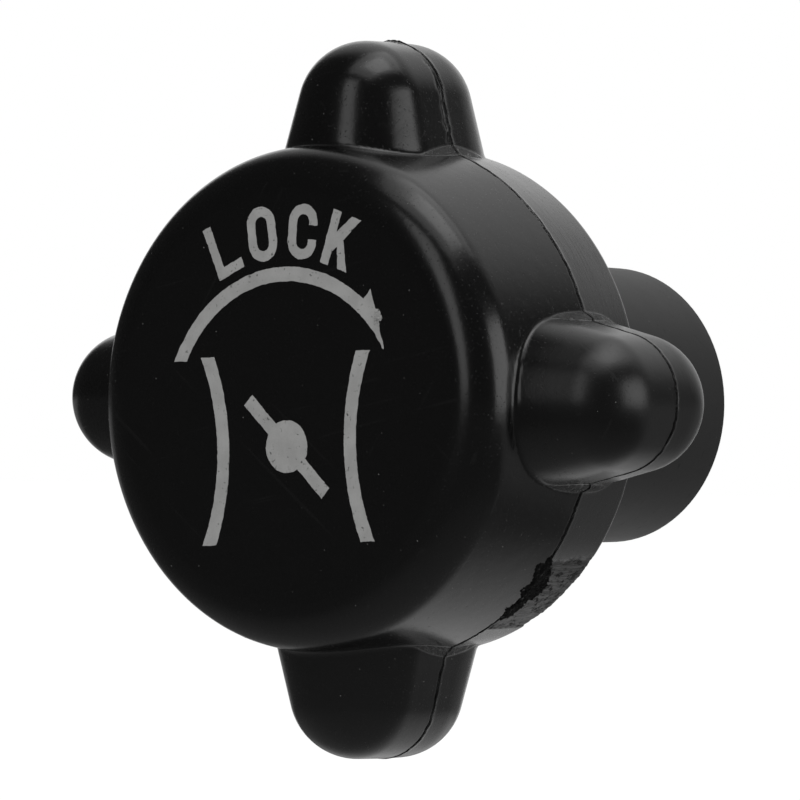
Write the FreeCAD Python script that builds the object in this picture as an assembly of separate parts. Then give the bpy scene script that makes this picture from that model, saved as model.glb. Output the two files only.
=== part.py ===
import FreeCAD, Part
import os
from math import cos, radians, sin, tan
from FreeCAD import Vector

# Throttle knob: one moulding with a round head, four grip lugs and a neck, and a threaded insert in the neck.
# Millimetres and degrees. The axis is Y: the marked face looks to -Y, and the neck ends at the origin.

# Head, whose rim is widest at the parting line of its mould
head_radius = 16.0
face_reach = 9.8              # parting line to the marked face
back_reach = 5.4              # parting line to the back of the head
face_draft = 5.0              # slope of the rim in front of the parting line
back_draft = 5.6              # slope of the rim behind it
face_edge_radius = 2.8
back_edge = 0.4               # chamfer where the rim meets the back

# Neck, which gets thinner towards its open end
neck_end_radius = 8.8
neck_length = 18.6
neck_draft = 0.6
neck_root = 0.8               # sloped corner between the neck and the head's back
neck_rim = 0.3                # chamfer around the open end

# Grip lugs
lug_count = 4
lug_reach = 22.05             # knob axis to the tip of a lug
lug_dome_radius = 4.25
lug_taper = 14.0              # the sides close towards the tip
lug_draft = 1.0               # the sides close away from the parting line
lug_front_offset = 2.3        # parting line to the centre of the front round
lug_back_offset = 1.45        # parting line to the centre of the back round
lug_foot_depth = 4.0          # how far a lug runs on below the rim, inside the head

# Threaded insert, which the moulding grips by its six flats and its groove
insert_flats = 8.0            # size across the flats of its hexagonal bar
insert_floor = 1.0            # metal left beyond the point of the drilled hole
grip_groove_width = 2.4
grip_groove_depth = 0.7       # below the flats
thread_hole_radius = 2.5      # tapping size of an M6 thread
thread_depth = 11.5           # mouth to the end of the full bore
thread_mouth = 0.5            # depth of the 45 degree countersink
drill_point_angle = 118.0

parting_y = -(neck_length + back_reach)
face_y = parting_y - face_reach
back_y = parting_y + back_reach
drill_point_depth = thread_hole_radius / tan(radians(drill_point_angle / 2))
insert_length = thread_depth + drill_point_depth + insert_floor
axis_point = Vector(0, 0, 0)
axis_way = Vector(0, 1, 0)


def turned(points):
    """A solid turned about the knob axis from corners given as radius and place along the axis."""
    corners = [Vector(radius, y, 0) for radius, y in points]
    section = Part.Face(Part.makePolygon(corners + corners[:1]))
    return section.revolve(axis_point, axis_way, 360)


def rounded(shape, corner_radius, ring_radius, y):
    """The shape with the circular edges of one radius, at one place along the axis, rounded."""
    rings = []
    for edge in shape.Edges:
        if not isinstance(edge.Curve, Part.Circle):
            continue
        if abs(edge.Curve.Radius - ring_radius) < 1e-4 and abs(edge.Curve.Center.y - y) < 1e-4:
            rings.append(edge)
    return shape.makeFillet(corner_radius, rings)


def head_and_neck():
    face_radius = head_radius - face_reach * tan(radians(face_draft))
    back_radius = head_radius - back_reach * tan(radians(back_draft))
    root_radius = neck_end_radius + neck_length * tan(radians(neck_draft))
    body = turned([
        (0, face_y), (face_radius, face_y), (head_radius, parting_y),
        (back_radius, back_y - back_edge), (back_radius - back_edge, back_y),
        (root_radius + neck_root, back_y), (root_radius, back_y + neck_root),
        (neck_end_radius, -neck_rim), (neck_end_radius - neck_rim, 0), (0, 0),
    ])
    return rounded(body, face_edge_radius, face_radius, face_y)


def lug_corners(dome_radius, y):
    """Corners of half a lug's outline at one place along the axis, from its foot to its tip on +Z."""
    slope = radians(lug_taper)
    dome_z = lug_reach - lug_dome_radius
    foot_z = head_radius - lug_foot_depth
    foot_half = dome_radius / cos(slope) + (dome_z - foot_z) * tan(slope)
    foot = Vector(0, y, foot_z)
    foot_corner = Vector(foot_half, y, foot_z)
    shoulder = Vector(dome_radius * cos(slope), y, dome_z + dome_radius * sin(slope))
    halfway = radians((90 + lug_taper) / 2)
    on_dome = Vector(dome_radius * cos(halfway), y, dome_z + dome_radius * sin(halfway))
    tip = Vector(0, y, dome_z + dome_radius)
    return foot, foot_corner, shoulder, on_dome, tip


def lug_outline(dome_radius, y):
    """The whole outline of a lug at one place along the axis."""
    foot, corner, shoulder, on_dome, tip = lug_corners(dome_radius, y)
    far_corner = Vector(-corner.x, y, corner.z)
    far_shoulder = Vector(-shoulder.x, y, shoulder.z)
    return Part.Wire([
        Part.makeLine(far_corner, corner), Part.makeLine(corner, shoulder),
        Part.Arc(shoulder, tip, far_shoulder).toShape(), Part.makeLine(far_shoulder, far_corner),
    ])


def lug_round(dome_radius, y, turn):
    """The front or back round of a lug: half its outline turned about the lug's own centre line."""
    foot, corner, shoulder, on_dome, tip = lug_corners(dome_radius, y)
    half_outline = Part.Wire([
        Part.makeLine(foot, corner), Part.makeLine(corner, shoulder),
        Part.Arc(shoulder, on_dome, tip).toShape(), Part.makeLine(tip, foot),
    ])
    return Part.Face(half_outline).revolve(foot, Vector(0, 0, 1), turn)


def lug():
    """A grip lug on +Z, widest at the parting line, rounded in front and flush with the head's back."""
    front_y = parting_y - lug_front_offset
    rear_y = parting_y + lug_back_offset
    front_dome = lug_dome_radius - lug_front_offset * tan(radians(lug_draft))
    rear_dome = lug_dome_radius - lug_back_offset * tan(radians(lug_draft))
    widest = lug_outline(lug_dome_radius, parting_y)
    front_flank = Part.makeLoft([lug_outline(front_dome, front_y), widest], True, True)
    rear_flank = Part.makeLoft([widest, lug_outline(rear_dome, rear_y)], True, True)
    front_round = lug_round(front_dome, front_y, -180)
    rear_round = lug_round(rear_dome, rear_y, 180)
    whole = front_flank.multiFuse([rear_flank, front_round, rear_round]).removeSplitter()
    side = 2 * lug_reach
    ahead_of_back = Part.makeBox(side, side, side, Vector(-side / 2, back_y - side, 0))
    return whole.common(ahead_of_back)


def around_axis(shape, count):
    return [shape.rotated(axis_point, axis_way, index * 360 / count) for index in range(count)]


def insert_blank():
    """The insert's outside: a hexagonal bar with a round groove around its middle."""
    corner_radius = insert_flats / 2 / cos(radians(30))
    section = Part.makePolygon([
        Vector(corner_radius * cos(radians(60 * corner)), 0, corner_radius * sin(radians(60 * corner)))
        for corner in range(7)
    ])
    bar = Part.Face(section).extrude(Vector(0, -insert_length, 0))
    groove_radius = insert_flats / 2 - grip_groove_depth
    groove_start = -(insert_length - grip_groove_width) / 2
    groove_end = groove_start - grip_groove_width
    return bar.cut(turned([
        (groove_radius, groove_start), (2 * corner_radius, groove_start),
        (2 * corner_radius, groove_end), (groove_radius, groove_end),
    ]))


def threaded_hole():
    mouth_radius = thread_hole_radius + thread_mouth
    return turned([
        (0, 0), (mouth_radius, 0), (thread_hole_radius, -thread_mouth),
        (thread_hole_radius, -thread_depth), (0, -thread_depth - drill_point_depth),
    ])


def knob_moulding():
    body = head_and_neck().multiFuse(around_axis(lug(), lug_count)).removeSplitter()
    return body.cut(insert_blank())


def threaded_insert():
    return insert_blank().cut(threaded_hole())


def export(shape, node):
    shape.exportStep(os.path.join("parts", node + ".step"))
    print(node, shape.isValid(), len(shape.Solids), len(shape.Faces), round(shape.Volume, 3))


os.makedirs("parts", exist_ok=True)
export(knob_moulding(), "knob_moulding")
export(threaded_insert(), "threaded_insert")
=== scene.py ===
from math import cos, pi, radians, sin, tan

import bmesh
import bpy
import numpy as np
from mathutils import Matrix, Vector, noise


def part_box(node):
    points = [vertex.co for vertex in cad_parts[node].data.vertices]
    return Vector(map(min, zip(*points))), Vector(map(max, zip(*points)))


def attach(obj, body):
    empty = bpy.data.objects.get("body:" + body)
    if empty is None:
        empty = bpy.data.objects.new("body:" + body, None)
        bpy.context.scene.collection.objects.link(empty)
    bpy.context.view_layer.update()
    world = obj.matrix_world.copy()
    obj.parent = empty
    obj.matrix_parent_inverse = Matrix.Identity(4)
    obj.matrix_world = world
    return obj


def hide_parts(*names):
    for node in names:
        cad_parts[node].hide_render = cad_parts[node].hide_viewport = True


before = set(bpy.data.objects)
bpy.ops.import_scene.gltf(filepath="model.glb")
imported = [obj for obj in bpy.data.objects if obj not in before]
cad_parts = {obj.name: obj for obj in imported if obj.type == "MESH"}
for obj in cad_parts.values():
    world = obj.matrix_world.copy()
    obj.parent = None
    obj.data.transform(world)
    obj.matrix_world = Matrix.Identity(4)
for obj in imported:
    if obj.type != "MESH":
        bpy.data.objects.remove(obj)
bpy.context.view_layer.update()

mm = 0.001
scene = bpy.context.scene
knobLow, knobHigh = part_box("knob_moulding")
print("frame loaded")


# small helpers for colours, nodes, meshes and smooth random lines

def fromHex(hexColour):
    channels = [int(hexColour[i:i + 2], 16) / 255 for i in (1, 3, 5)]
    linear = [c / 12.92 if c <= 0.04045 else ((c + 0.055) / 1.055) ** 2.4 for c in channels]
    return (*linear, 1.0)


def addNode(tree, kind, inputs=None, output=0, **settings):  # gives one of its outputs
    node = tree.nodes.new(kind)
    for name, value in settings.items():
        setattr(node, name, value)
    for socket, value in (inputs or {}).items():
        if isinstance(value, bpy.types.NodeSocket):
            tree.links.new(value, node.inputs[socket])
        else:
            node.inputs[socket].default_value = fromHex(value) if str(value).startswith("#") else value
    return node.outputs[output] if len(node.outputs) else None


def addMath(tree, operation, first, *others):  # from left to right
    for other in others or (0.0,):
        first = addNode(tree, "ShaderNodeMath", {0: first, 1: other}, operation=operation)
    return first


def times(tree, *values):
    return addMath(tree, "MULTIPLY", *values)


def rest(tree, share):
    return addMath(tree, "SUBTRACT", 1.0, share)


def ramp(tree, value, fromLow, fromHigh, toLow=0.0, toHigh=1.0):
    inputs = {"Value": value, "From Min": fromLow, "From Max": fromHigh, "To Min": toLow, "To Max": toHigh}
    return addNode(tree, "ShaderNodeMapRange", inputs, interpolation_type="SMOOTHSTEP")


def rampInMm(tree, value, low, high, *levels):
    return ramp(tree, value, low * mm, high * mm, *levels)


def grain(tree, place, perMm, detail=2.0, roughness=0.5):
    inputs = {"Vector": place, "Scale": perMm / mm, "Detail": detail, "Roughness": roughness}
    return addNode(tree, "ShaderNodeTexNoise", inputs)


def blend(tree, share, first, second):  # from one colour to another
    return addNode(tree, "ShaderNodeMix", {"Factor": share, 6: first, 7: second}, 2, data_type="RGBA")


def fromParts(tree, x, y, z):
    return addNode(tree, "ShaderNodeCombineXYZ", {0: x, 1: y, 2: z})


def axisPlace(tree, place):  # x, y, z and distance from the axis
    x, y, z = addNode(tree, "ShaderNodeSeparateXYZ", {0: place}).node.outputs
    squared = addMath(tree, "ADD", times(tree, x, x), times(tree, z, z))
    return x, y, z, addMath(tree, "SQRT", squared)


def newMaterial(name):
    material = bpy.data.materials.new(name)
    material.use_nodes = True
    tree = material.node_tree
    tree.nodes.clear()
    return material, tree, addNode(tree, "ShaderNodeTexCoord", None, "Object")


def finishMaterial(material, inputs, height=None, depth=1.0, strength=1.0):  # height map's depth in mm
    tree = material.node_tree
    if height is not None:
        raised = {"Height": height, "Strength": strength, "Distance": depth * mm}
        inputs["Normal"] = addNode(tree, "ShaderNodeBump", raised)
    shader = addNode(tree, "ShaderNodeBsdfPrincipled", inputs)
    addNode(tree, "ShaderNodeOutputMaterial", {"Surface": shader})
    return material


def addObject(name, data):
    added = bpy.data.objects.new(name, data)
    scene.collection.objects.link(added)
    return added


def meshPiece(name, pointsInMm, faces, material, smooth=True):
    mesh = bpy.data.meshes.new(name)
    mesh.from_pydata((np.asarray(pointsInMm) * mm).tolist(), [], faces)
    mesh.validate()
    if smooth:
        mesh.shade_smooth()
    mesh.materials.append(material)
    return addObject(name, mesh)


def turnedOut(piece):  # doubles merged, faces pointing out
    work = bmesh.new()
    work.from_mesh(piece.data)
    bmesh.ops.remove_doubles(work, verts=work.verts, dist=1e-7)
    bmesh.ops.recalc_face_normals(work, faces=work.faces)
    work.to_mesh(piece.data)
    work.free()
    return piece


def smoothStep(value, low, high):
    share = np.clip((value - low) / (high - low), 0, 1)
    return share * share * (3 - 2 * share)


def smoothBand(value, start, full, fade, end):  # 1 from full to fade
    return smoothStep(value, start, full) * (1 - smoothStep(value, fade, end))


def bell(value, width, power=2):
    return np.exp(-(value / width) ** power)


def waves(values, seed, periods):  # smooth repeatable wobble, about -1 to 1
    rng = np.random.default_rng(seed)
    total = 0
    for period in periods:
        total = total + np.sin(2 * pi * np.asarray(values) / period + rng.uniform(0, 2 * pi))
    return total / len(periods)


def wavesAround(degrees, seed, counts):  # whole waves in a full turn, so the ends meet
    return waves(degrees, seed, [360 / count for count in counts])


def signedTurn(degrees):
    return (degrees + 180) % 360 - 180


# the moulding: head, four lugs and neck. mm, y from the parting line, angles from +X towards +Z

partingY = -24.0
moulding = {
    "headRadius": 16.0,
    "faceProud": 0.2,  # in front of the solid, as the outline in the photo is
    "backReach": 5.4,
    "faceDraft": 5.0,
    "backDraft": 5.6,
    "faceEdge": 2.8,
    "backEdge": 0.5,
    "neckEndRadius": 8.8,
    "neckDraft": 0.6,
    "neckRoot": 0.9,
    "neckRim": 0.35,
    "lugReach": knobHigh.z / mm,
    "lugDome": 4.25,
    "lugTaper": 14.0,
    "lugDraft": 1.0,
    "lugFront": 2.3,
    "lugBack": 1.45,
    "lugRoot": 0.13,  # small fillet where a lug meets the rim
    "rootFacet": 0.4,  # flat lens-shaped facet across that corner, beside the seam
    "facetReach": 3.6,
    "lugRear": 0.35,  # round where a lug is cut flush with the back
    "insertFlats": 8.0,
    "insertDepth": 14.0,
    "pocket": ((1.6, 0.0), (0.25, 0.0), (0.06, 0.04), (0.02, 0.2)),  # wider than the insert, depth
    "pocketFloor": 0.05,
}
faceReach = partingY - knobLow.y / mm + moulding["faceProud"]
faceY = partingY - faceReach

spacing = {  # mm between columns of points
    "rim": 0.36,
    "lug": 0.165,
    "lugRoot": 0.07,
    "trimmed": 0.11,
    "besideTrimmed": 0.2,
    "rootBand": 0.7,  # how near both rim and lug a root's columns are
    "level": 0.5,  # y at which they are spaced
    "castFrom": 11.0,  # radius that every ray starts from
    "castReach": 14.5,
    "halvings": 34,
    "frontFrom": -0.8,  # y of that start, ahead of the seam
    "frontTilts": ((-90, -81, 3), (-81, -56, 17), (-56, -1.5, 35)),  # from, to, steps
    "seamRows": (-0.7, -0.5, -0.36, -0.26, -0.18, -0.12, -0.07, -0.03, 0.01,
                 0.05, 0.1, 0.16, 0.22, 0.3, 0.42, 0.58, 0.75),
    "rearFrom": 0.85,
    "rearTilts": ((1.5, 39, 20), (39, 51, 10), (51, 90, 4)),
    "neckColumns": 96,
    "faceRing": 9.5,  # radius inside which the face is one fan
    "backRing": 10.6,
}

seam = {
    "y": -0.06,
    "wobble": 0.06,
    "fineWobble": 0.045,
    "jogTurn": 18.4,  # to each side of the right lug, where the line jogs
    "jogHeight": 0.4,
    "jogWidth": 0.9,
    "grooveDepth": 0.09,
    "grooveWidth": 0.048,
    "lipHeight": 0.04,
    "lipOffset": 0.17,
    "lipWidth": 0.08,
    "tornTurns": (-57, -52, -24, -19),
    "tornDepth": 0.12,  # extra depth where the flash was torn away, beside the gate
    "splitTurns": (72, 74, 81, 83),
    "splitDepth": 0.07,  # second crack beside the first on the top lug's side
    "splitOffset": -0.27,
    "splitWidth": 0.06,
    "bumpTurn": 89.5,
    "bumpTurnWidth": 2.4,
    "bumpHeight": 0.17,  # flash left standing on the top lug's tip
    "bumpOffset": 0.06,
    "bumpWidth": 0.14,
}

gate = {
    "start": -37.0,  # degrees along the rim
    "end": -55.5,
    "trimStart": -36.5,
    "trimEnd": -66.0,
    "trimRagged": 0.8,  # how far its start strays, degrees
    "trimSlant": 0.55,  # degrees that its end leans for each mm
    "trimDepth": 0.06,
    "trimSteps": ((0.5, 11.0, 11.08), (-0.4, 12.1, 12.2), (0.5, 12.9, 12.95)),  # share of depth, from, to
    "strokeDepth": 0.035,
    "outline": (  # degrees, front edge and rear edge of the torn patch
        (-35.8, -0.1, 0.0), (-38.5, -1.0, 0.6), (-40, -0.8, 1.0), (-43, -0.3, 1.5), (-45.5, -0.8, 1.9),
        (-48.3, 0.0, 1.6), (-50.5, -0.1, 1.0), (-52, -0.5, 1.3), (-55, 0.1, 1.0), (-56.5, 0.0, 0.0),
    ),
    "scarInset": 1.6,
    "scarFront": -1.3,
    "scarRear": 2.3,
    "scarRows": 150,
    "scarColumns": 92,
    "scarThickness": 0.35,
}


def cornerDistance(first, second, cosine, radius):  # two planes joined by a round of this radius
    beyondFirst, beyondSecond = first + radius, second + radius
    spread = 1 - cosine * cosine
    alongFirst = (beyondFirst - cosine * beyondSecond) / spread
    alongSecond = (beyondSecond - cosine * beyondFirst) / spread
    inCorner = (alongFirst > 0) & (alongSecond > 0)
    squared = np.maximum(alongFirst * beyondFirst + alongSecond * beyondSecond, 0)
    return np.where(inCorner, np.sqrt(squared) - radius, np.maximum(first, second))


def headDistance(r, y):
    m = moulding
    front, back = radians(m["faceDraft"]), radians(m["backDraft"])
    frontRim = (r - m["headRadius"]) * cos(front) - y * sin(front)
    backRim = (r - m["headRadius"]) * cos(back) + y * sin(back)
    frontPart = cornerDistance(frontRim, -y - faceReach, sin(front), m["faceEdge"])
    backPart = cornerDistance(backRim, y - m["backReach"], sin(back), m["backEdge"])
    return np.maximum(frontPart, backPart)


def lugDistance(side, y, z):
    m = moulding
    taper = radians(m["lugTaper"])
    spineY = np.clip(y, -m["lugFront"], m["lugBack"])
    dome = m["lugDome"] - np.abs(spineY) * tan(radians(m["lugDraft"]))
    off = np.hypot(side, y - spineY)
    rise = z - (m["lugReach"] - m["lugDome"])
    onDome = rise * cos(taper) > off * sin(taper)
    shape = np.where(onDome, np.hypot(off, rise) - dome, off * cos(taper) + rise * sin(taper) - dome)
    cut, rear = y - m["backReach"], m["lugRear"]
    corner = np.hypot(np.maximum(shape + rear, 0), np.maximum(cut + rear, 0))
    return np.minimum(-rear, np.maximum(shape, cut)) + corner


def plainDistances(r, degrees, y):  # from the head alone and from the nearest lug alone
    fromLug = np.radians((degrees + 45) % 90 - 45)
    return headDistance(r, y), lugDistance(r * np.sin(fromLug), y, r * np.cos(fromLug))


def seamPlace(degrees):
    v = seam
    place = v["y"] + v["wobble"] * wavesAround(degrees, 3, (7, 13, 29, 47, 83))
    place = place + v["fineWobble"] * wavesAround(degrees, 4, (131, 197, 263))
    fromJog = np.abs(np.abs(signedTurn(degrees)) - v["jogTurn"])
    return place + v["jogHeight"] * bell(fromJog, v["jogWidth"])


def seamCut(degrees, y):  # how deep the parting crease and how high its lip
    v = seam
    away = y - seamPlace(degrees)
    turn = signedTurn(degrees)
    torn = smoothBand(turn, *v["tornTurns"])
    ragged = 0.55 + 0.45 * wavesAround(degrees, 11, (61, 97, 143, 211))
    depth = v["grooveDepth"] * (0.6 + 0.4 * ragged) + v["tornDepth"] * torn * ragged
    width = v["grooveWidth"] * (0.8 + 0.6 * torn * ragged + 0.3 * ragged)
    groove = depth * bell(away, width)
    lip = v["lipHeight"] * (0.5 + 0.5 * ragged) * bell(away - v["lipOffset"], v["lipWidth"])
    splitAway = away - v["splitOffset"] + 0.09 * waves(degrees, 17, (3.1, 1.7))
    split = v["splitDepth"] * smoothBand(turn, *v["splitTurns"]) * bell(splitAway, v["splitWidth"])
    bump = v["bumpHeight"] * bell(turn - v["bumpTurn"], v["bumpTurnWidth"], 4)
    bump = bump * bell(away - v["bumpOffset"], v["bumpWidth"])
    return groove + split - lip - bump * (0.8 + 0.2 * waves(degrees, 19, (1.3, 0.7)))


def trimShare(degrees, y):  # 1 where the file ran, behind the gate
    v = gate
    turn = signedTurn(degrees)
    edge = v["trimRagged"] * waves(y, 31, (2.3, 1.1, 0.6))
    within = smoothStep(-turn + edge, -v["trimStart"], 1.5 - v["trimStart"])
    within = within * (1 - smoothStep(-turn - v["trimSlant"] * y, -v["trimEnd"] - 6.2, -v["trimEnd"] - 5.9))
    return within * smoothStep(y, 0.1, 0.4)


def trimCut(degrees, y):  # flats and level strokes left by the file
    level = (moulding["headRadius"] - 0.098 * y) * np.sin(np.radians(degrees))
    strokes = gate["strokeDepth"] * waves(level, 5, (1.3, 0.62, 0.37, 0.21))
    steps = sum(share * smoothStep(-level, start, end) for share, start, end in gate["trimSteps"])
    depth = gate["trimDepth"] * (0.75 + steps + 0.35 * waves(y, 6, (5.0, 2.2)))
    return trimShare(degrees, y) * (depth + strokes)


def knobDistance(r, degrees, y):
    head, lug = plainDistances(r, degrees, y)
    head = head + trimCut(degrees, y)
    root = moulding["lugRoot"]
    joined = np.maximum(root, np.minimum(head, lug))
    joined = joined - np.hypot(np.maximum(root - head, 0), np.maximum(root - lug, 0))
    facet = moulding["rootFacet"] * (1 - (y / moulding["facetReach"]) ** 2)
    joined = np.minimum(joined, (head + lug - facet) * 0.707)
    return joined + seamCut(degrees, y)


def castRays(degrees, startY, tilt):
    degrees, startY, tilt = np.broadcast_arrays(degrees, startY, tilt)
    start = spacing["castFrom"]
    near, far = np.zeros(degrees.shape), np.full(degrees.shape, spacing["castReach"])
    for halving in range(spacing["halvings"]):
        middle = (near + far) / 2
        inside = knobDistance(start + middle * np.cos(tilt), degrees, startY + middle * np.sin(tilt)) < 0
        near = np.where(inside, middle, near)
        far = np.where(inside, far, middle)
    return start + near * np.cos(tilt), startY + near * np.sin(tilt)


def columnAngles():  # closer together where there is more to show
    v = spacing
    fine = np.arange(0, 360, 0.02)
    r, _ = castRays(fine, v["level"], 0.0)
    x, z = r * np.cos(np.radians(fine)), r * np.sin(np.radians(fine))
    length = np.hypot(np.diff(x, append=x[0]), np.diff(z, append=z[0]))
    head, lug = plainDistances(r, fine, v["level"])
    step = np.where(lug < head, v["lug"], v["rim"])
    step = np.where((head < v["rootBand"]) & (lug < v["rootBand"]), v["lugRoot"], step)
    turn = signedTurn(fine)
    step = np.where((turn < gate["trimStart"] + 1) & (turn > gate["trimEnd"] - 1), v["trimmed"], step)
    step = np.where((turn < -20) & (turn > gate["trimStart"]), v["besideTrimmed"], step)
    crowd = np.cumsum(length / step)
    count = int(crowd[-1])
    return np.interp((np.arange(count) + 0.5) * crowd[-1] / count, crowd, fine)


def spreadTilts(spans):
    parts = [np.linspace(start, end, steps + 1)[:-1] for start, end, steps in spans]
    return np.radians(np.concatenate(parts + [[spans[-1][1]]]))


def headRings(degrees):
    v = spacing
    rings = [castRays(degrees, v["frontFrom"], tilt) for tilt in spreadTilts(v["frontTilts"])]
    rings += [castRays(degrees, seamPlace(degrees) + row, 0.0) for row in v["seamRows"]]
    rings += [castRays(degrees, v["rearFrom"], tilt) for tilt in spreadTilts(v["rearTilts"])]
    return rings


def hexRadius(degrees, flats):
    return flats / 2 / np.cos(np.radians(degrees % 60 - 30))


def neckRings(degrees):
    m = moulding
    endY, back, root, rim, end = -partingY, m["backReach"], m["neckRoot"], m["neckRim"], m["neckEndRadius"]
    slope = tan(radians(m["neckDraft"]))
    rootRadius = end + (endY - back) * slope
    rings = [(spacing["backRing"], back)]
    for turn in np.radians(np.linspace(0, 90, 8)):
        rings.append((rootRadius + root * (1 - sin(turn)), back + root * (1 - cos(turn))))
    for y in np.linspace(back + 2.2, endY - 1.2, 8):
        rings.append((end + (endY - y) * slope, y))
    for turn in np.radians(np.linspace(0, 90, 7)):
        rings.append((end - rim * (1 - cos(turn)), endY - rim * (1 - sin(turn))))
    rings.append((end - rim - 0.12, endY))
    hexOutline = hexRadius(degrees, m["insertFlats"])
    floor = (m["pocket"][-1][0], m["insertDepth"] + m["pocketFloor"])
    return rings + [(hexOutline + wider, endY - depth) for wider, depth in (*m["pocket"], floor)]


def ringPoints(degrees, r, y):
    turn = np.radians(degrees)
    return np.stack([r * np.cos(turn), y + partingY + 0 * turn, r * np.sin(turn)], -1)


def stripFaces(start, wide, rings):  # quads over rings that follow one another
    pairs = [(i, (i + 1) % wide) for i in range(wide)]
    faces = []
    for first in range(start, start + wide * (rings - 1), wide):
        faces += [(first + i, first + j, first + wide + j, first + wide + i) for i, j in pairs]
    return faces


def stitchFaces(first, firstAngles, second, secondAngles):  # triangles between rings of different counts
    nFirst, nSecond = len(firstAngles), len(secondAngles)
    firstEnds = [*firstAngles[1:], firstAngles[0] + 360, 1e9]
    secondEnds = [*secondAngles[1:], secondAngles[0] + 360, 1e9]
    faces = []
    i = j = 0
    while i < nFirst or j < nSecond:
        if firstEnds[i] <= secondEnds[j]:
            faces.append((first + i % nFirst, first + (i + 1) % nFirst, second + j % nSecond))
            i += 1
        else:
            faces.append((first + i % nFirst, second + (j + 1) % nSecond, second + j % nSecond))
            j += 1
    return faces


def fanFaces(ring, count, centre):
    return [(centre, ring + i, ring + (i + 1) % count) for i in range(count)]


def closedFaces(wide, rings):  # with a fan at each end, whose centres come last
    last = wide * rings
    return fanFaces(0, wide, last) + stripFaces(0, wide, rings) + fanFaces(last - wide, wide, last + 1)


def giveAttribute(piece, name, start, values):  # 0 on the points outside the given run
    whole = np.zeros(len(piece.data.vertices))
    whole[start:start + len(values)] = values
    piece.data.attributes.new(name, "FLOAT", "POINT").data.foreach_set("value", whole)


def rootScuff(degrees, y, points):  # 1 on the bruised facets between rim and lug
    head, lug = plainDistances(np.hypot(points[:, 0], points[:, 2]), degrees, y)
    reach = moulding["facetReach"]
    onCorner = smoothStep(np.minimum(head, lug), 0.015, 0.07)
    onCorner = onCorner * (1 - smoothStep(np.maximum(head, lug), 0.5, 0.8))
    return onCorner * (1 - smoothStep(np.abs(y), reach - 0.8, reach))


def buildMoulding(material):
    columns = columnAngles()
    rings = headRings(columns)
    wide, narrow = len(columns), spacing["neckColumns"]
    slim = np.arange(narrow) * 360 / narrow
    neck = neckRings(slim)
    points = [ringPoints(slim, spacing["faceRing"], -faceReach)]
    points += [ringPoints(columns, *ring) for ring in rings] + [ringPoints(slim, *ring) for ring in neck]
    faceCentre = (0, faceY, 0)
    floorCentre = (0, -moulding["insertDepth"] - moulding["pocketFloor"], 0)
    points = np.concatenate(points + [[faceCentre, floorCentre]])
    neckStart = narrow + wide * len(rings)
    last = neckStart + narrow * len(neck)
    faces = fanFaces(0, narrow, last)
    faces += stitchFaces(0, slim, narrow, columns)
    faces += stripFaces(narrow, wide, len(rings))
    faces += stitchFaces(neckStart - wide, columns, neckStart, slim)
    faces += stripFaces(neckStart, narrow, len(neck))
    faces += fanFaces(last - narrow, narrow, last + 1)
    piece = meshPiece("knob_body", points, faces, material)
    around = np.degrees(np.arctan2(points[:, 2], points[:, 0]))
    along = points[:, 1] - partingY
    giveAttribute(piece, "seamAway", 0, along - seamPlace(around % 360))
    head = slice(narrow, neckStart)
    giveAttribute(piece, "trimmed", narrow, trimShare(around[head], along[head]))
    giveAttribute(piece, "scuffed", narrow, rootScuff(around[head], along[head], points[head]))
    turnedOut(piece)
    print("moulding:", wide, "columns,", len(rings), "rings,", len(piece.data.polygons), "faces")
    return piece, columns


# the torn gate scar, a rough patch on the rim

def gateHeight(degrees, y):
    along, front, rear = np.array(gate["outline"]).T
    rearEdge = np.interp(-degrees, -along, rear) + 0.14 * waves(degrees, 21, (1.9, 1.1, 0.61))
    frontEdge = np.interp(-degrees, -along, front) + 0.1 * waves(degrees, 22, (1.6, 0.93, 0.52))
    within = smoothStep(np.minimum(rearEdge - y, y - frontEdge), -0.06, 0.14)
    lumps = np.zeros(degrees.shape)
    for index in np.ndindex(degrees.shape):
        spot = Vector((degrees[index] * 0.28, y[index], 0.3))
        lumps[index] = noise.fractal(spot * 3.1, 0.7, 2.3, 4)
    return within * (0.07 + 0.13 * lumps) - 0.05 * (1 - within)


def buildGateScar(material):
    v, m = gate, moulding
    along = np.linspace(v["start"] + v["scarInset"], v["end"] - v["scarInset"], v["scarRows"])
    across = np.linspace(v["scarFront"], v["scarRear"], v["scarColumns"])
    degrees, y = np.meshgrid(along, across, indexing="ij")
    slope = np.where(y < 0, -tan(radians(m["faceDraft"])), tan(radians(m["backDraft"])))
    r = m["headRadius"] - slope * y + gateHeight(degrees, y) - 0.5 * trimCut(degrees, y)
    points = [ringPoints(degrees, layer, y).reshape(-1, 3) for layer in (r, r - v["scarThickness"])]
    grid = np.arange(r.size).reshape(r.shape)
    faces = []
    for layer in (grid, grid + r.size):
        corners = (layer[:-1, :-1], layer[1:, :-1], layer[1:, 1:], layer[:-1, 1:])
        faces += np.stack(corners, -1).reshape(-1, 4).tolist()
    border = np.concatenate([grid[0, :-1], grid[:-1, -1], grid[-1, :0:-1], grid[:0:-1, 0]]).tolist()
    for a, b in zip(border, border[1:] + border[:1]):
        faces.append((a, b, b + r.size, a + r.size))
    return turnedOut(meshPiece("gate_scar", np.concatenate(points), faces, material))


# flash along the parting line, grown by geometry nodes

flash = {
    "width": 0.035,
    "height": 1.0,
    "noisePerMm": 1.4,
    "seed": 4.0,
    "offset": 0.1,  # from the parting line
    "sink": 0.012,
    "step": 0.12,
}


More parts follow.
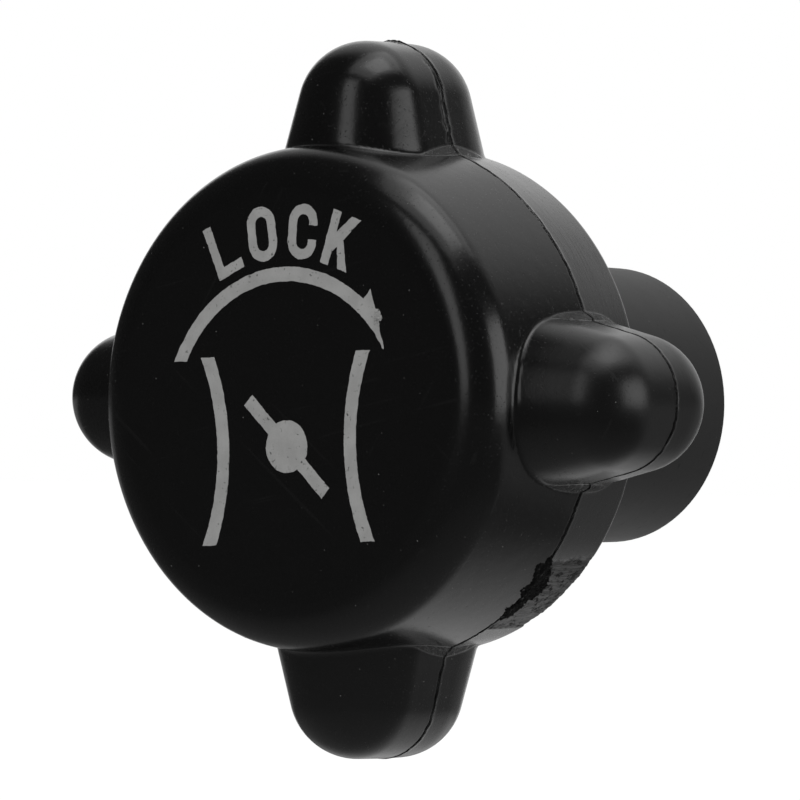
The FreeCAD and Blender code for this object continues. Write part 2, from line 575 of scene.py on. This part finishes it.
def grownMesh(name, source, values, layOut, material):  # what the nodes make of the source
    tree = bpy.data.node_groups.new(name, "GeometryNodeTree")
    tree.interface.new_socket("Geometry", in_out="INPUT", socket_type="NodeSocketGeometry")
    for label, value in values.items():
        kind = "NodeSocketInt" if isinstance(value, int) else "NodeSocketFloat"
        tree.interface.new_socket(label, in_out="INPUT", socket_type=kind)
    tree.interface.new_socket("Geometry", in_out="OUTPUT", socket_type="NodeSocketGeometry")
    grown = layOut(tree, addNode(tree, "NodeGroupInput").node.outputs)
    realized = addNode(tree, "GeometryNodeRealizeInstances", {"Geometry": grown})
    painted = addNode(tree, "GeometryNodeSetMaterial", {"Geometry": realized, "Material": material})
    addNode(tree, "NodeGroupOutput", {"Geometry": painted})
    modifier = source.modifiers.new("grow", "NODES")
    modifier.node_group = tree
    for item in tree.interface.items_tree:
        if item.item_type == "SOCKET" and item.in_out == "INPUT" and item.name in values:
            modifier[item.identifier] = values[item.name]
    source.update_tag()
    graph = bpy.context.evaluated_depsgraph_get()
    mesh = bpy.data.meshes.new_from_object(source.evaluated_get(graph))
    mesh.name = name
    bpy.data.objects.remove(source)
    return addObject(name, mesh)


def flashNodes(tree, given):
    line = addNode(tree, "GeometryNodeMeshToCurve", {"Mesh": given["Geometry"]})
    even = {"Curve": line, "Length": flash["step"] * mm}
    even = addNode(tree, "GeometryNodeResampleCurve", even, mode="LENGTH")
    ragged = {"W": given["Seed"], "Scale": given["Noise Scale"], "Detail": 3.0}
    ragged = addNode(tree, "ShaderNodeTexNoise", ragged, noise_dimensions="4D")
    size = {"Value": ragged, "From Min": 0.36, "From Max": 0.72, "To Min": 0.12, "To Max": 1.5}
    tall = times(tree, addNode(tree, "ShaderNodeMapRange", size), given["Height"])
    fin = addNode(tree, "GeometryNodeCurvePrimitiveCircle", {"Resolution": 5, "Radius": given["Width"]})
    return addNode(tree, "GeometryNodeCurveToMesh", {"Curve": even, "Profile Curve": fin, "Scale": tall})


def buildFlash(columns, material):
    v = flash
    r, y = castRays(columns, seamPlace(columns) + v["offset"], 0.0)
    points = ringPoints(columns, r - v["sink"], y)
    mesh = bpy.data.meshes.new("seamLine")
    mesh.from_pydata((points * mm).tolist(), [(i, (i + 1) % len(points)) for i in range(len(points))], [])
    values = {"Width": v["width"] * mm, "Height": v["height"]}
    values |= {"Noise Scale": v["noisePerMm"] / mm, "Seed": v["seed"]}
    return grownMesh("parting_flash", addObject("seamLine", mesh), values, flashNodes, material)


# brass insert with its thread

insert = {
    "majorRadius": 3.0,
    "pitch": 1.0,
    "threadDepth": 11.0,
    "threadStart": 0.45,
    "runOut": 0.9,  # bore beyond the last turn
    "ridge": 0.42,  # radius of its three-sided section
    "ridgeSink": 0.08,
    "mouth": 0.5,
    "drillDepth": 11.5,
    "groove": (5.8, 8.2, 0.7),
    "columns": 96,
    "gap": 0.02,  # all around, to the moulding
}


def buildInsert(material):
    v = insert
    length, flats = moulding["insertDepth"], moulding["insertFlats"]
    major, mouth, drilled = v["majorRadius"], v["mouth"], v["drillDepth"]
    degrees = np.arange(v["columns"]) * 360 / v["columns"]
    outside = hexRadius(degrees, flats) - v["gap"]
    grooveStart, grooveEnd, grooveDepth = v["groove"]
    inside = flats / 2 - grooveDepth
    rings = [
        (0.6, -length), (outside, -length), (outside, -grooveEnd), (inside, -grooveEnd),
        (inside, -grooveStart), (outside, -grooveStart), (outside, -0.12), (outside - 0.1, -0.01),
        (major + mouth + 0.12, -0.01), (major + mouth, -0.05), (major, -mouth - 0.05), (major, -drilled),
        (2.5, -drilled - 0.3), (0.3, -drilled - 1.5),
    ]
    points = [ringPoints(degrees, r, -partingY + y) for r, y in rings]
    points = np.concatenate(points + [[(0, -length, 0), (0, -drilled - 1.65, 0)]])
    faces = closedFaces(len(degrees), len(rings))
    return turnedOut(meshPiece("threaded_insert_brass", points, faces, material, smooth=False))


def threadNodes(tree, given):
    radius = given["Radius"]
    helix = {"Resolution": 48, "Rotations": given["Turns"], "Height": given["Length"]}
    helix |= {"Start Radius": radius, "End Radius": radius}
    helix = addNode(tree, "GeometryNodeCurveSpiral", helix)
    upright = addNode(tree, "GeometryNodeSetCurveNormal", {"Curve": helix}, mode="Z_UP")
    ridge = addNode(tree, "GeometryNodeCurvePrimitiveCircle", {"Resolution": 3, "Radius": given["Ridge"]})
    swept = {"Curve": upright, "Profile Curve": ridge, "Fill Caps": True}
    swept = addNode(tree, "GeometryNodeCurveToMesh", swept)
    return addNode(tree, "GeometryNodeTransform", {"Geometry": swept, "Rotation": (pi / 2, 0, 0)})


def buildThread(material):
    v = insert
    source = addObject("threadSource", bpy.data.meshes.new("threadSource"))
    length = v["threadDepth"] - v["runOut"]
    values = {
        "Radius": (v["majorRadius"] - v["ridgeSink"]) * mm, "Ridge": v["ridge"] * mm,
        "Turns": length / v["pitch"], "Length": length * mm,
    }
    piece = grownMesh("insert_thread", source, values, threadNodes, material)
    piece.data.transform(Matrix.Translation((0, -v["threadStart"] * mm, 0)))
    return piece


# printed mark on the face: a plain word, an arrow and the throttle's outline. mm from the disc's centre

printMark = {
    "seed": 4,  # of the uneven edges
    "centre": (0.26, -2.93),
    "turn": 2.4,
    "height": 0.016,
    "lift": 0.002,
    "edgeWobble": 0.034,
    "edgeStep": 0.09,
    "discRadius": 1.59,
    "barLength": 8.22,
    "barWidth": 0.86,
    "barAngle": -44.8,
    "barShift": 0.0425,
    "arcCentre": 1.3,
    "arcOuter": 9.57,
    "arcInner": 8.70,
    "arcCut": 5.44,
    "arcEnds": (50.2, 31.5),
    "arrowHead": ((6.68, 9.24), (6.91, 8.38), (7.27, 7.31), (7.30, 6.76), (7.59, 5.8), (7.6, 5.63),
                  (7.49, 5.67)),
    "wallGap": 4.44,
    "wallThickness": 0.91,
    "wallInnerRadius": 15.5,
    "wallOuterRadius": 13.9,
    "wallTop": 5.6,
    "wallBottom": -5.84,
    "letterRadius": 13.02,
    "letterPlaces": {"L": (20.7, 22.6), "O": (6.95, 6.95), "C": (-6.9, -6.9), "K": (-19.9, -19.9)},
    "letterHeight": 3.34,
    "letterWidth": 2.18,
    "footOfL": 2.08,
    "openingOfC": 0.87,
    "stroke": 0.62,
}


def arcPoints(centre, radius, start, end, count=40):
    turn = np.radians(np.linspace(start, end, count))
    return np.stack([centre[0] + radius * np.cos(turn), centre[1] + radius * np.sin(turn)], -1)


def angleAt(rise, radius):
    return np.degrees(np.arcsin(rise / radius))


def spun(points, degrees):
    turn = radians(degrees)
    return points @ np.array([(cos(turn), sin(turn)), (-sin(turn), cos(turn))])


def onFace(x, z):  # from the print's own frame to the knob's
    turn = radians(printMark["turn"])
    centreX, centreZ = printMark["centre"]
    return x * cos(turn) - z * sin(turn) + centreX, x * sin(turn) + z * cos(turn) + centreZ


def arrowOutline():
    v = printMark
    centre = (0, v["arcCentre"])
    rise = v["arcCut"] - v["arcCentre"]
    outer = arcPoints(centre, v["arcOuter"], 180 - angleAt(rise, v["arcOuter"]), v["arcEnds"][0], 60)
    inner = arcPoints(centre, v["arcInner"], v["arcEnds"][1], 180 - angleAt(rise, v["arcInner"]), 60)
    return [np.concatenate([outer, v["arrowHead"], inner])]


def wallOutline(side):
    v = printMark
    inner, outer, top, bottom = v["wallInnerRadius"], v["wallOuterRadius"], v["wallTop"], v["wallBottom"]
    nearCentre = (-v["wallGap"] - inner, 0)
    farCentre = (-v["wallGap"] - v["wallThickness"] - outer, 0)
    nearEdge = arcPoints(nearCentre, inner, angleAt(bottom, inner), angleAt(top, inner))
    farEdge = arcPoints(farCentre, outer, angleAt(top, outer), angleAt(bottom, outer))
    return [np.concatenate([nearEdge, farEdge]) * (side, 1)]


def butterflyOutline():
    v = printMark
    half, thin = v["barLength"] / 2, v["barWidth"] / 2
    reach = angleAt(thin, v["discRadius"])
    top = arcPoints((0, 0), v["discRadius"], reach, 180 - reach)
    bottom = arcPoints((0, 0), v["discRadius"], 180 + reach, 360 - reach)
    outline = np.concatenate([[(half, -thin), (half, thin)], top, [(-half, thin), (-half, -thin)], bottom])
    return [spun(outline, v["barAngle"]) + (v["barShift"], 0)]


def stadium(width, height):
    radius = width / 2
    top = arcPoints((0, height / 2 - radius), radius, 0, 180)
    bottom = arcPoints((0, radius - height / 2), radius, 180, 360)
    return np.concatenate([top, bottom])


def letterOutlines():
    v = printMark
    wide, tall, stroke, foot = v["letterWidth"], v["letterHeight"], v["stroke"], v["footOfL"]
    gap = v["openingOfC"] / 2
    shapeL = np.array([(0, 0), (foot, 0), (foot, stroke), (stroke, stroke), (stroke, tall), (0, tall)])
    outer, inner = stadium(wide, tall), stadium(wide - 2 * stroke, tall - 2 * stroke)
    openOuter = np.concatenate([[(wide / 2, gap)], outer, [(wide / 2, -gap)]])
    openInner = np.concatenate([[(wide / 2 - stroke, gap)], inner, [(wide / 2 - stroke, -gap)]])
    shapeC = np.concatenate([openOuter, openInner[::-1]])
    shapeK = np.array([
        (0, 0), (stroke, 0), (stroke, 0.84), (0.95, 1.30), (1.36, 0), (2.1, 0), (1.27, 1.76),
        (2.2, tall - 0.05), (1.46, tall - 0.05), (stroke, 2.05), (stroke, tall), (0, tall),
    ]) - (1.06, tall / 2)
    return {"L": [shapeL - (foot / 2, tall / 2)], "O": [outer, inner], "C": [shapeC], "K": [shapeK]}


def raggedLoop(loop, seed):  # in short steps, uneven as printed ink is
    steps = []
    for start, end in zip(loop, np.roll(loop, -1, axis=0)):
        count = max(1, int(np.hypot(*(end - start)) / printMark["edgeStep"]))
        steps.append(start + (end - start) * np.arange(count)[:, None] / count)
    moved = []
    for x, z in np.concatenate(steps):
        spot = Vector((x * 2.6, z * 2.6, seed))
        away = noise.noise_vector(spot) + 0.7 * noise.noise_vector(spot * 3.7)
        moved.append((x + printMark["edgeWobble"] * away.x, z + printMark["edgeWobble"] * away.y))
    return np.array(moved)


def flatInk(loops, seed):  # filled outlines with a thin wall, in mm
    curve = bpy.data.curves.new("ink", "CURVE")
    curve.dimensions = "2D"
    curve.fill_mode = "BOTH"
    curve.extrude = printMark["height"] / 2
    curve.bevel_depth = printMark["height"] / 3
    curve.bevel_resolution = 1
    for loop in loops:
        dense = raggedLoop(loop, seed)
        spline = curve.splines.new("POLY")
        spline.points.add(len(dense) - 1)
        flat = np.column_stack([dense, np.zeros(len(dense)), np.ones(len(dense))])
        spline.points.foreach_set("co", flat.ravel())
        spline.use_cyclic_u = True
    holder = addObject("ink", curve)
    graph = bpy.context.evaluated_depsgraph_get()
    mesh = bpy.data.meshes.new_from_object(holder.evaluated_get(graph))
    bpy.data.objects.remove(holder)
    return mesh


def buildPrint(material):
    v = printMark
    noise.seed_set(v["seed"])
    shapes = [arrowOutline(), wallOutline(1), wallOutline(-1), butterflyOutline()]
    for letter, loops in letterOutlines().items():
        around, turn = v["letterPlaces"][letter]
        place = np.array((-sin(radians(around)), cos(radians(around)))) * v["letterRadius"]
        shapes.append([spun(loop, turn) + place for loop in loops])
    points, faces = [], []
    for seed, loops in enumerate(shapes):
        mesh = flatInk(loops, seed * 7.3)
        start = len(points)
        points += [tuple(vertex.co) for vertex in mesh.vertices]
        faces += [tuple(start + i for i in polygon.vertices) for polygon in mesh.polygons]
        bpy.data.meshes.remove(mesh)
    flat = np.array(points)
    x, z = onFace(flat[:, 0], flat[:, 1])
    points = np.stack([x, faceY - flat[:, 2] - v["lift"], z], -1)
    print("print:", len(shapes), "shapes")
    return turnedOut(meshPiece("face_print", points, faces, material, smooth=False))


inkBlob = {
    "place": (7.16, 7.5),
    "size": (0.32, 0.5),
    "height": 0.17,
    "sink": 0.004,
    "seed": 5.0,
    "columns": 48,
    "rows": 14,
}


def buildInkBlob(material):
    v = inkBlob
    columns, rows, seed = v["columns"], v["rows"], v["seed"]
    points = []
    for share in (np.arange(rows) + 1) / rows:
        for way in 2 * pi * np.arange(columns) / columns:
            uneven = 1 + 0.55 * noise.noise(Vector((cos(way) * 1.6, sin(way) * 1.6, seed)))
            px = v["place"][0] + v["size"][0] * share * uneven * cos(way)
            pz = v["place"][1] + v["size"][1] * share * uneven * sin(way)
            bump = 1 + 1.7 * noise.fractal(Vector((px * 3.4, pz * 3.4, seed)), 0.7, 2.1, 4)
            x, z = onFace(px, pz)
            points.append((x, faceY - (v["height"] * (1 - share ** 2.2) * bump - v["sink"]), z))
    top, foot = np.mean(points[:columns], axis=0), np.mean(points[-columns:], axis=0)
    points += [tuple(top), (foot[0], foot[1] + 0.03, foot[2])]
    return turnedOut(meshPiece("ink_blob", points, closedFaces(columns, rows), material))


# dust on the surface, scattered by geometry nodes

dust = {"density": 0.08, "size": 0.042, "caught": 45.0, "seed": 12}  # density per square mm


def dustNodes(tree, given):
    trap = addNode(tree, "GeometryNodeInputNamedAttribute", {"Name": "scuffed"}, data_type="FLOAT")
    caught = addMath(tree, "ADD", times(tree, trap, dust["caught"]), 1.0)
    density = times(tree, given["Density"], caught)
    held = {"Mesh": given["Geometry"], "Density": density, "Seed": given["Seed"]}
    spread = addNode(tree, "GeometryNodeDistributePointsOnFaces", held).node.outputs
    fleck = addNode(tree, "GeometryNodeMeshIcoSphere", {"Radius": given["Fleck Size"], "Subdivisions": 1})
    size = {2: 0.35, 3: 1.0, "Seed": given["Seed"]}
    size = addNode(tree, "FunctionNodeRandomValue", size, 1, data_type="FLOAT")
    placed = {"Points": spread["Points"], "Instance": fleck, "Rotation": spread["Rotation"]}
    placed["Scale"] = fromParts(tree, size, size, 0.35)
    return addNode(tree, "GeometryNodeInstanceOnPoints", placed)


def buildDust(body, material):
    source = addObject("dustSource", body.data.copy())
    values = {"Density": dust["density"] / mm / mm, "Fleck Size": dust["size"] * mm, "Seed": dust["seed"]}
    return grownMesh("dust_flecks", source, values, dustNodes, material)


# finishes

plasticLook = {
    "head": "#090909",
    "neck": "#161616",
    "ior": 1.54,
    "gloss": 0.15,  # roughness of the clean moulded surface
    "zones": {  # along x, y or the radius, mm, from none to all
        "neck": ("y", -18.75, -18.4), "face": ("y", -30.8, -33.2), "back": ("y", -24.0, -23.7),
        "onLug": ("r", 15.8, 17.0), "wornLug": ("x", 15.5, 18.5), "shadedDashes": ("y", -17.8, -20.5),
    },
    "upperRim": (0.22, 0.36, 0.6, 0.8),  # radians up from +X
    "crackRagged": 0.34,  # mm
    "crackWidth": (0.014, 0.065),
    "lipOffset": 0.15,
    "scratches": ((31, 2.6, 0.23), (-52, 2.1, 0.24), (78, 3.1, 0.24)),  # degrees, per mm, scarcity
    "roughness": {  # added to the gloss
        "mottle": 0.08, "onLug": 0.02, "wornLug": 0.12, "face": 0.02, "neck": 0.38, "bruise": 0.4,
        "shadedCrack": 0.5, "scratches": 0.04, "pits": 0.10, "upperRimSheen": 0.16, "fileStrokes": 0.45, "shadedDashes": 0.4,
        "backStreaks": 0.10,
    },
    "tints": {  # colour and how much of it
        # grey streaks behind the upper rim and the grey line along the lip: painted highlight
        "scratches": ("#0e0e0e", 1.0), "upperRimSheen": ("#262626", 0.6), "lipHighlight": ("#3a3a3a", 1.0),
        # near-black in the torn dashes and the crack: painted shade in their grooves
        "trimmed": ("#141414", 0.7), "shadedDashes": ("#030303", 1.0), "bruise": ("#1d1d1d", 1.0),
        "shadedCrack": ("#020202", 1.0),
    },
    "heights": {  # mm
        "orangePeel": 0.010, "fine": 0.0034, "pits": -0.004, "shadedCrack": -0.07, "roughLip": 0.03,
        "bruise": 0.05, "shadedDashes": -0.05, "fileStrokes": 0.05, "backStreaks": 0.006, "scratches": -0.002,
    },
}


def scratchLines(tree, place, turnDegrees, perMm, scarcity):  # thin straight marks in one direction
    lay = {"Vector": place, "Rotation": (0, radians(turnDegrees), 0), "Scale": (1, 1, 33)}
    turned = addNode(tree, "ShaderNodeMapping", lay, vector_type="TEXTURE")
    return ramp(tree, grain(tree, turned, perMm, 1.0), 0.5 + scarcity, 0.53 + scarcity)


def levelGrain(tree, place, stretch, *texture):  # grain that lies level
    drawn = addNode(tree, "ShaderNodeMapping", {"Vector": place, "Scale": (stretch, stretch, 1.0)})
    return grain(tree, drawn, *texture)


def attribute(tree, name):
    return addNode(tree, "ShaderNodeAttribute", None, "Fac", attribute_name=name)


def summed(tree, total, shares, amounts):
    for name, amount in amounts.items():
        total = addMath(tree, "ADD", total, times(tree, shares[name], amount))
    return total


def blackMouldedPlastic():  # phenolic-like, gloss from the mould on head and lugs, duller on the neck
    v = plasticLook
    material, tree, place = newMaterial("blackMouldedPlastic")
    x, y, z, r = axisPlace(tree, place)
    turn = addMath(tree, "ARCTAN2", z, x)
    along = {"x": x, "y": y, "r": r}
    shares = {name: rampInMm(tree, along[axis], *ends) for name, (axis, *ends) in v["zones"].items()}
    backHalf = times(tree, shares["back"], rest(tree, shares["neck"]))

    # the parting crack, ragged finer than the mesh, its near-black colour painted shade, and its lip
    # lightened with painted highlight
    uneven = addMath(tree, "SUBTRACT", grain(tree, place, 3.2, 4.0, 0.7), 0.5)
    away = addMath(tree, "ADD", attribute(tree, "seamAway"), times(tree, uneven, v["crackRagged"]))
    crackWidth = ramp(tree, grain(tree, place, 1.1, 3.0, 0.6), 0.35, 0.65, *v["crackWidth"])
    inWidths = addMath(tree, "DIVIDE", addMath(tree, "ABSOLUTE", away), crackWidth)
    fromLip = addMath(tree, "ABSOLUTE", addMath(tree, "SUBTRACT", away, v["lipOffset"]))
    lip = rest(tree, ramp(tree, fromLip, 0.02, 0.09))
    # near-black down the crack: painted shade
    shares["shadedCrack"] = rest(tree, ramp(tree, inWidths, 0.5, 1.2))
    # lighter grey in patches along the lip: painted highlight
    shares["lipHighlight"] = times(tree, lip, ramp(tree, grain(tree, place, 0.9, 3.0), 0.45, 0.62))

    # level file strokes and torn dashes behind the gate, the dashes' near-black colour painted shade
    trimmed = attribute(tree, "trimmed")
    tears = ramp(tree, levelGrain(tree, place, 0.4, 3.4, 4.0, 0.75), 0.53, 0.60)
    shares["trimmed"] = trimmed
    shares["fileStrokes"] = times(tree, trimmed, levelGrain(tree, place, 0.12, 7.0, 3.0, 0.7))
    # near-black in the torn dashes: painted shade
    shares["shadedDashes"] = times(tree, tears, shares["shadedDashes"], trimmed)

    # bruised patches at the lugs' roots, rougher streaks behind the upper rim lightened with painted sheen,
    # and wear all over
    bruises = ramp(tree, grain(tree, place, 2.6, 5.0, 0.75), 0.38, 0.56)
    shares["bruise"] = times(tree, attribute(tree, "scuffed"), bruises)
    streaks = grain(tree, fromParts(tree, times(tree, turn, 0.0006), y, r), 5.0, 3.0, 0.6)
    start, full, fade, end = v["upperRim"]
    upperRim = times(tree, ramp(tree, turn, start, full), rest(tree, ramp(tree, turn, fade, end)))
    # lighter grey streaks behind the upper rim: painted sheen, on real roughness
    shares["upperRimSheen"] = times(tree, upperRim, backHalf, ramp(tree, streaks, 0.5, 0.6))
    shares["backStreaks"] = times(tree, backHalf, streaks)
    shares["mottle"] = grain(tree, place, 0.35, 4.0, 0.6)
    shares["orangePeel"] = grain(tree, place, 0.9, 2.0)
    shares["fine"] = grain(tree, place, 5.5, 3.0, 0.6)
    shares["roughLip"] = times(tree, lip, shares["fine"])
    shares["pits"] = ramp(tree, grain(tree, place, 6.5, 2.0, 0.6), 0.64, 0.72)
    lines = [scratchLines(tree, place, *lay) for lay in v["scratches"]]
    shares["scratches"] = addMath(tree, "MAXIMUM", *lines)

    colour = blend(tree, shares["neck"], v["head"], v["neck"])
    for name, (tint, amount) in v["tints"].items():
        colour = blend(tree, times(tree, shares[name], amount), colour, tint)
    rough = summed(tree, v["gloss"], shares, v["roughness"])
    height = summed(tree, 0.0, shares, v["heights"])
    return finishMaterial(material, {"Base Color": colour, "Roughness": rough, "IOR": v["ior"]}, height)


def tornPlastic():  # the same plastic where the gate broke off, rough and dead black
    material, tree, place = newMaterial("tornPlastic")
    rough = ramp(tree, grain(tree, place, 4.0, 3.0), 0.3, 0.7, 0.7, 0.95)
    inputs = {"Base Color": "#040404", "Roughness": rough, "IOR": plasticLook["ior"]}
    inputs["Specular IOR Level"] = 0.22
    return finishMaterial(material, inputs, grain(tree, place, 7.0, 3.0), 0.08)


def greyInk():  # pad-printed light grey ink, matt, with specks where it missed the plastic
    material, tree, place = newMaterial("padPrintedGreyInk")
    specks = ramp(tree, grain(tree, place, 3.6, 5.0, 0.7), 0.625, 0.66)
    cloud = ramp(tree, grain(tree, place, 0.9, 3.0), 0.3, 0.7)
    fine = grain(tree, place, 11.0, 3.0, 0.7)
    tone = addMath(tree, "ADD", times(tree, cloud, 0.35), times(tree, fine, 0.65))
    colour = blend(tree, tone, "#7c7c7b", "#989897")
    colour = blend(tree, specks, colour, "#2a2a2a")
    inputs = {"Base Color": colour, "Roughness": 0.62, "IOR": 1.45}
    return finishMaterial(material, inputs, grain(tree, place, 6.0, 3.0), 0.01, 0.3)


def turnedBrass():  # free-cutting brass, turned, slightly dulled
    material, tree, place = newMaterial("turnedBrass")
    r = axisPlace(tree, place)[3]
    toolMarks = grain(tree, fromParts(tree, r, 0.0, 0.0), 9.0, 2.0)
    tarnish = ramp(tree, grain(tree, place, 0.6, 4.0, 0.6), 0.35, 0.7)
    colour = blend(tree, tarnish, "#c9a24f", "#a07c3a")
    rough = ramp(tree, tarnish, 0.0, 1.0, 0.25, 0.42)
    inputs = {"Base Color": colour, "Metallic": 1.0, "Roughness": rough}
    return finishMaterial(material, inputs, toolMarks, 0.01, 0.5)


def greyDust():  # lint and dust caught on the plastic
    material, tree, place = newMaterial("greyDust")
    tone = blend(tree, grain(tree, place, 0.8), "#343434", "#7c7c7a")
    return finishMaterial(material, {"Base Color": tone, "Roughness": 0.9})


# studio: white floor and background, soft lamps, long lens. Only what the gloss mirrors is shaped

studio = {
    "lampDistance": 600.0,
    "lamps": {  # degrees round from the face towards +X, up, wide and tall, and radiance
        "stripFront": (6.0, 24.0, 19.0, 46.0, 1.25),
        "boxRight": (102.0, 7.5, 40.0, 45.0, 1.8),
    },
    "overheads": {  # hung level above the knob: x, height, width, depth, radiance
        "overhead": (150.0, 600.0, 460.0, 760.0, 0.9),
        "overheadCore": (180.0, 575.0, 270.0, 330.0, 1.5),
    },
}

surroundings = {
    "fillLevel": 0.70,  # what matt surfaces get from all around
    "frontLevel": 0.035,  # what gloss mirrors where there is no lamp
    "backdrop": (-168.0, 42.0, 0.64, 0.99, 0.75),  # round, up, spread as cosines, level of a grey glow
    "background": (-150.0, 14.0, 0.86, 0.95, 1.0),  # white paper straight behind, as the camera sees it
}

floorLook = {  # mm and what the gloss mirrors there
    "drop": 14.0,  # from the lowest lug to the floor
    "size": 6000.0,
    "paper": "#f4f4f4",
    "near": (0.0, 80.0, 0.19, 0.07),  # from below the knob outwards
    "behindCentre": (-6.0, 36.0),
    "behind": (8.0, 46.0, 0.75, 0.05),  # from that centre outwards
    "rear": (-5.0, 30.0, 0.0, 0.24),  # along y
    "farAround": -148.0,
    "farSpread": (0.9, 0.98),
    "far": (55.0, 110.0, 0.0, 1.0),
    "glow": 1.04,  # what it gives to matt surfaces and the camera
    "shadowless": 0.92,  # share that glows, so a soft shadow is left
}

view = {
    "turn": 37.748,  # degrees to the right of the face's own axis
    "lift": -0.771,
    "roll": 0.229,
    "lugTurn": 0.8,  # the knob's own small turn about its axis
    "distance": 424.3,
    "right": 0.910,
    "up": 0.018,
    "focalPixels": 6896.4,
    "pixels": 800,
    "sensor": 36.0,
}


def buildCamera():
    v = view
    turn, roll = radians(v["turn"]), radians(v["roll"])
    right = Vector((cos(turn), sin(turn), 0))
    back = wayTo(v["turn"], v["lift"])
    up = back.cross(right)
    right, up = cos(roll) * right + sin(roll) * up, cos(roll) * up - sin(roll) * right
    place = back * v["distance"] + right * v["right"] + up * v["up"]
    spin = Matrix.Rotation(radians(-v["lugTurn"]), 3, "Y")
    axes = [spin @ axis for axis in (right, up, back)]
    lens = bpy.data.cameras.new("camera")
    lens.sensor_width = v["sensor"]
    lens.lens = v["sensor"] * v["focalPixels"] / v["pixels"]
    lens.clip_start, lens.clip_end = 0.01, 50
    camera = addObject("camera", lens)
    middle = Matrix.Translation((Vector((0, partingY, 0)) + spin @ place) * mm)
    camera.matrix_world = middle @ Matrix(axes).transposed().to_4x4()
    scene.camera = camera


def wayTo(around, up):
    turn, lift = radians(around), radians(up)
    return Vector((sin(turn) * cos(lift), -cos(turn) * cos(lift), sin(lift)))


def hangLamp(name, place, way, width, height, radiance):
    lamp = bpy.data.lights.new(name, "AREA")
    lamp.shape = "RECTANGLE"
    lamp.size, lamp.size_y = width * mm, height * mm
    lamp.energy = radiance * pi * lamp.size * lamp.size_y
    light = addObject(name, lamp)
    light.location = place * mm
    light.rotation_euler = way.to_track_quat("Z", "Y").to_euler()


def buildLights():
    far = studio["lampDistance"]
    middle = Vector((0, partingY, 0))
    for name, (around, up, wide, tall, radiance) in studio["lamps"].items():
        way = wayTo(around, up)
        width, height = (2 * far * tan(radians(angle / 2)) for angle in (wide, tall))
        hangLamp(name, middle + way * far, way, width, height, radiance)
    for name, (x, height, width, depth, radiance) in studio["overheads"].items():
        hangLamp(name, middle + Vector((x, 0, height)), Vector((0, 0, 1)), width, depth, radiance)


def rayKinds(tree):  # 1 for rays straight from the camera, and 1 for mirrored or refracted ones
    path = addNode(tree, "ShaderNodeLightPath").node.outputs
    mirrored = addMath(tree, "MAXIMUM", path["Is Glossy Ray"], path["Is Transmission Ray"])
    return path["Is Camera Ray"], mirrored


def vectorMath(tree, operation, *vectors, output="Value"):
    return addNode(tree, "ShaderNodeVectorMath", dict(enumerate(vectors)), output, operation=operation)


def buildWorld():
    v = surroundings
    world = bpy.data.worlds.new("studio")
    world.use_nodes = True
    world.cycles.sampling_method = "NONE"  # its level differs by kind of ray
    scene.world = world
    tree = world.node_tree
    tree.nodes.clear()
    direct, mirrored = rayKinds(tree)
    way = addNode(tree, "ShaderNodeTexCoord", None, "Generated")
    levels = []
    for name, floor in (("backdrop", v["frontLevel"]), ("background", 0.0)):
        around, up, low, high, level = v[name]
        towards = vectorMath(tree, "DOT_PRODUCT", way, wayTo(around, up))
        levels.append(ramp(tree, towards, low, high, floor, level))
    seen = times(tree, mirrored, addMath(tree, "MAXIMUM", *levels))
    level = addMath(tree, "ADD", seen, times(tree, rest(tree, mirrored), v["fillLevel"]))
    level = addMath(tree, "MAXIMUM", level, direct)
    background = addNode(tree, "ShaderNodeBackground", {"Color": "#ffffff", "Strength": level})
    addNode(tree, "ShaderNodeOutputWorld", {"Surface": background})


def buildFloor():
    v = floorLook
    half = v["size"] / 2
    z = knobLow.z / mm - v["drop"]
    material, tree, place = newMaterial("whiteFloor")
    material.cycles.emission_sampling = "NONE"
    direct, mirrored = rayKinds(tree)
    x, y, _ = addNode(tree, "ShaderNodeSeparateXYZ", {0: place}).node.outputs
    flat = fromParts(tree, x, addMath(tree, "ADD", y, -partingY * mm), 0.0)
    away = vectorMath(tree, "LENGTH", flat)
    centre = Vector((*v["behindCentre"], 0)) * mm
    way = vectorMath(tree, "NORMALIZE", flat, output="Vector")
    rearward = vectorMath(tree, "DOT_PRODUCT", way, wayTo(v["farAround"], 0))
    gloss = addMath(
        tree, "MAXIMUM", rampInMm(tree, away, *v["near"]),
        rampInMm(tree, vectorMath(tree, "DISTANCE", flat, centre), *v["behind"]),
        times(tree, ramp(tree, rearward, *v["farSpread"]), rampInMm(tree, away, *v["far"])),
        rampInMm(tree, y, *v["rear"]),
    )
    level = addMath(tree, "ADD", times(tree, mirrored, gloss), times(tree, rest(tree, mirrored), v["glow"]))
    shade = addNode(tree, "ShaderNodeBsdfDiffuse", {"Color": v["paper"]})
    glow = addNode(tree, "ShaderNodeEmission", {"Color": "#ffffff", "Strength": level})
    share = addMath(tree, "MAXIMUM", times(tree, direct, v["shadowless"]), mirrored)
    mixed = addNode(tree, "ShaderNodeMixShader", {0: share, 1: shade, 2: glow})
    addNode(tree, "ShaderNodeOutputMaterial", {"Surface": mixed})
    corners = [(-half, -half, z), (half, -half, z), (half, half, z), (-half, half, z)]
    floor = meshPiece("floor", corners, [(0, 1, 2, 3)], material)


plastic = blackMouldedPlastic()
torn = tornPlastic()
ink = greyInk()
brass = turnedBrass()
lint = greyDust()

body, columns = buildMoulding(plastic)
scar = buildGateScar(torn)
fin = buildFlash(columns, plastic)
brassInsert = buildInsert(brass)
thread = buildThread(brass)
mark = buildPrint(ink)
blob = buildInkBlob(ink)
flecks = buildDust(body, lint)
print("pieces built")

for piece in (body, scar, fin, brassInsert, thread, mark, blob, flecks):
    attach(piece, "root")
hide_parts("knob_moulding")
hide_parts("threaded_insert")

buildFloor()
buildLights()
buildWorld()
buildCamera()
scene.view_settings.view_transform = "Standard"
print("studio built")
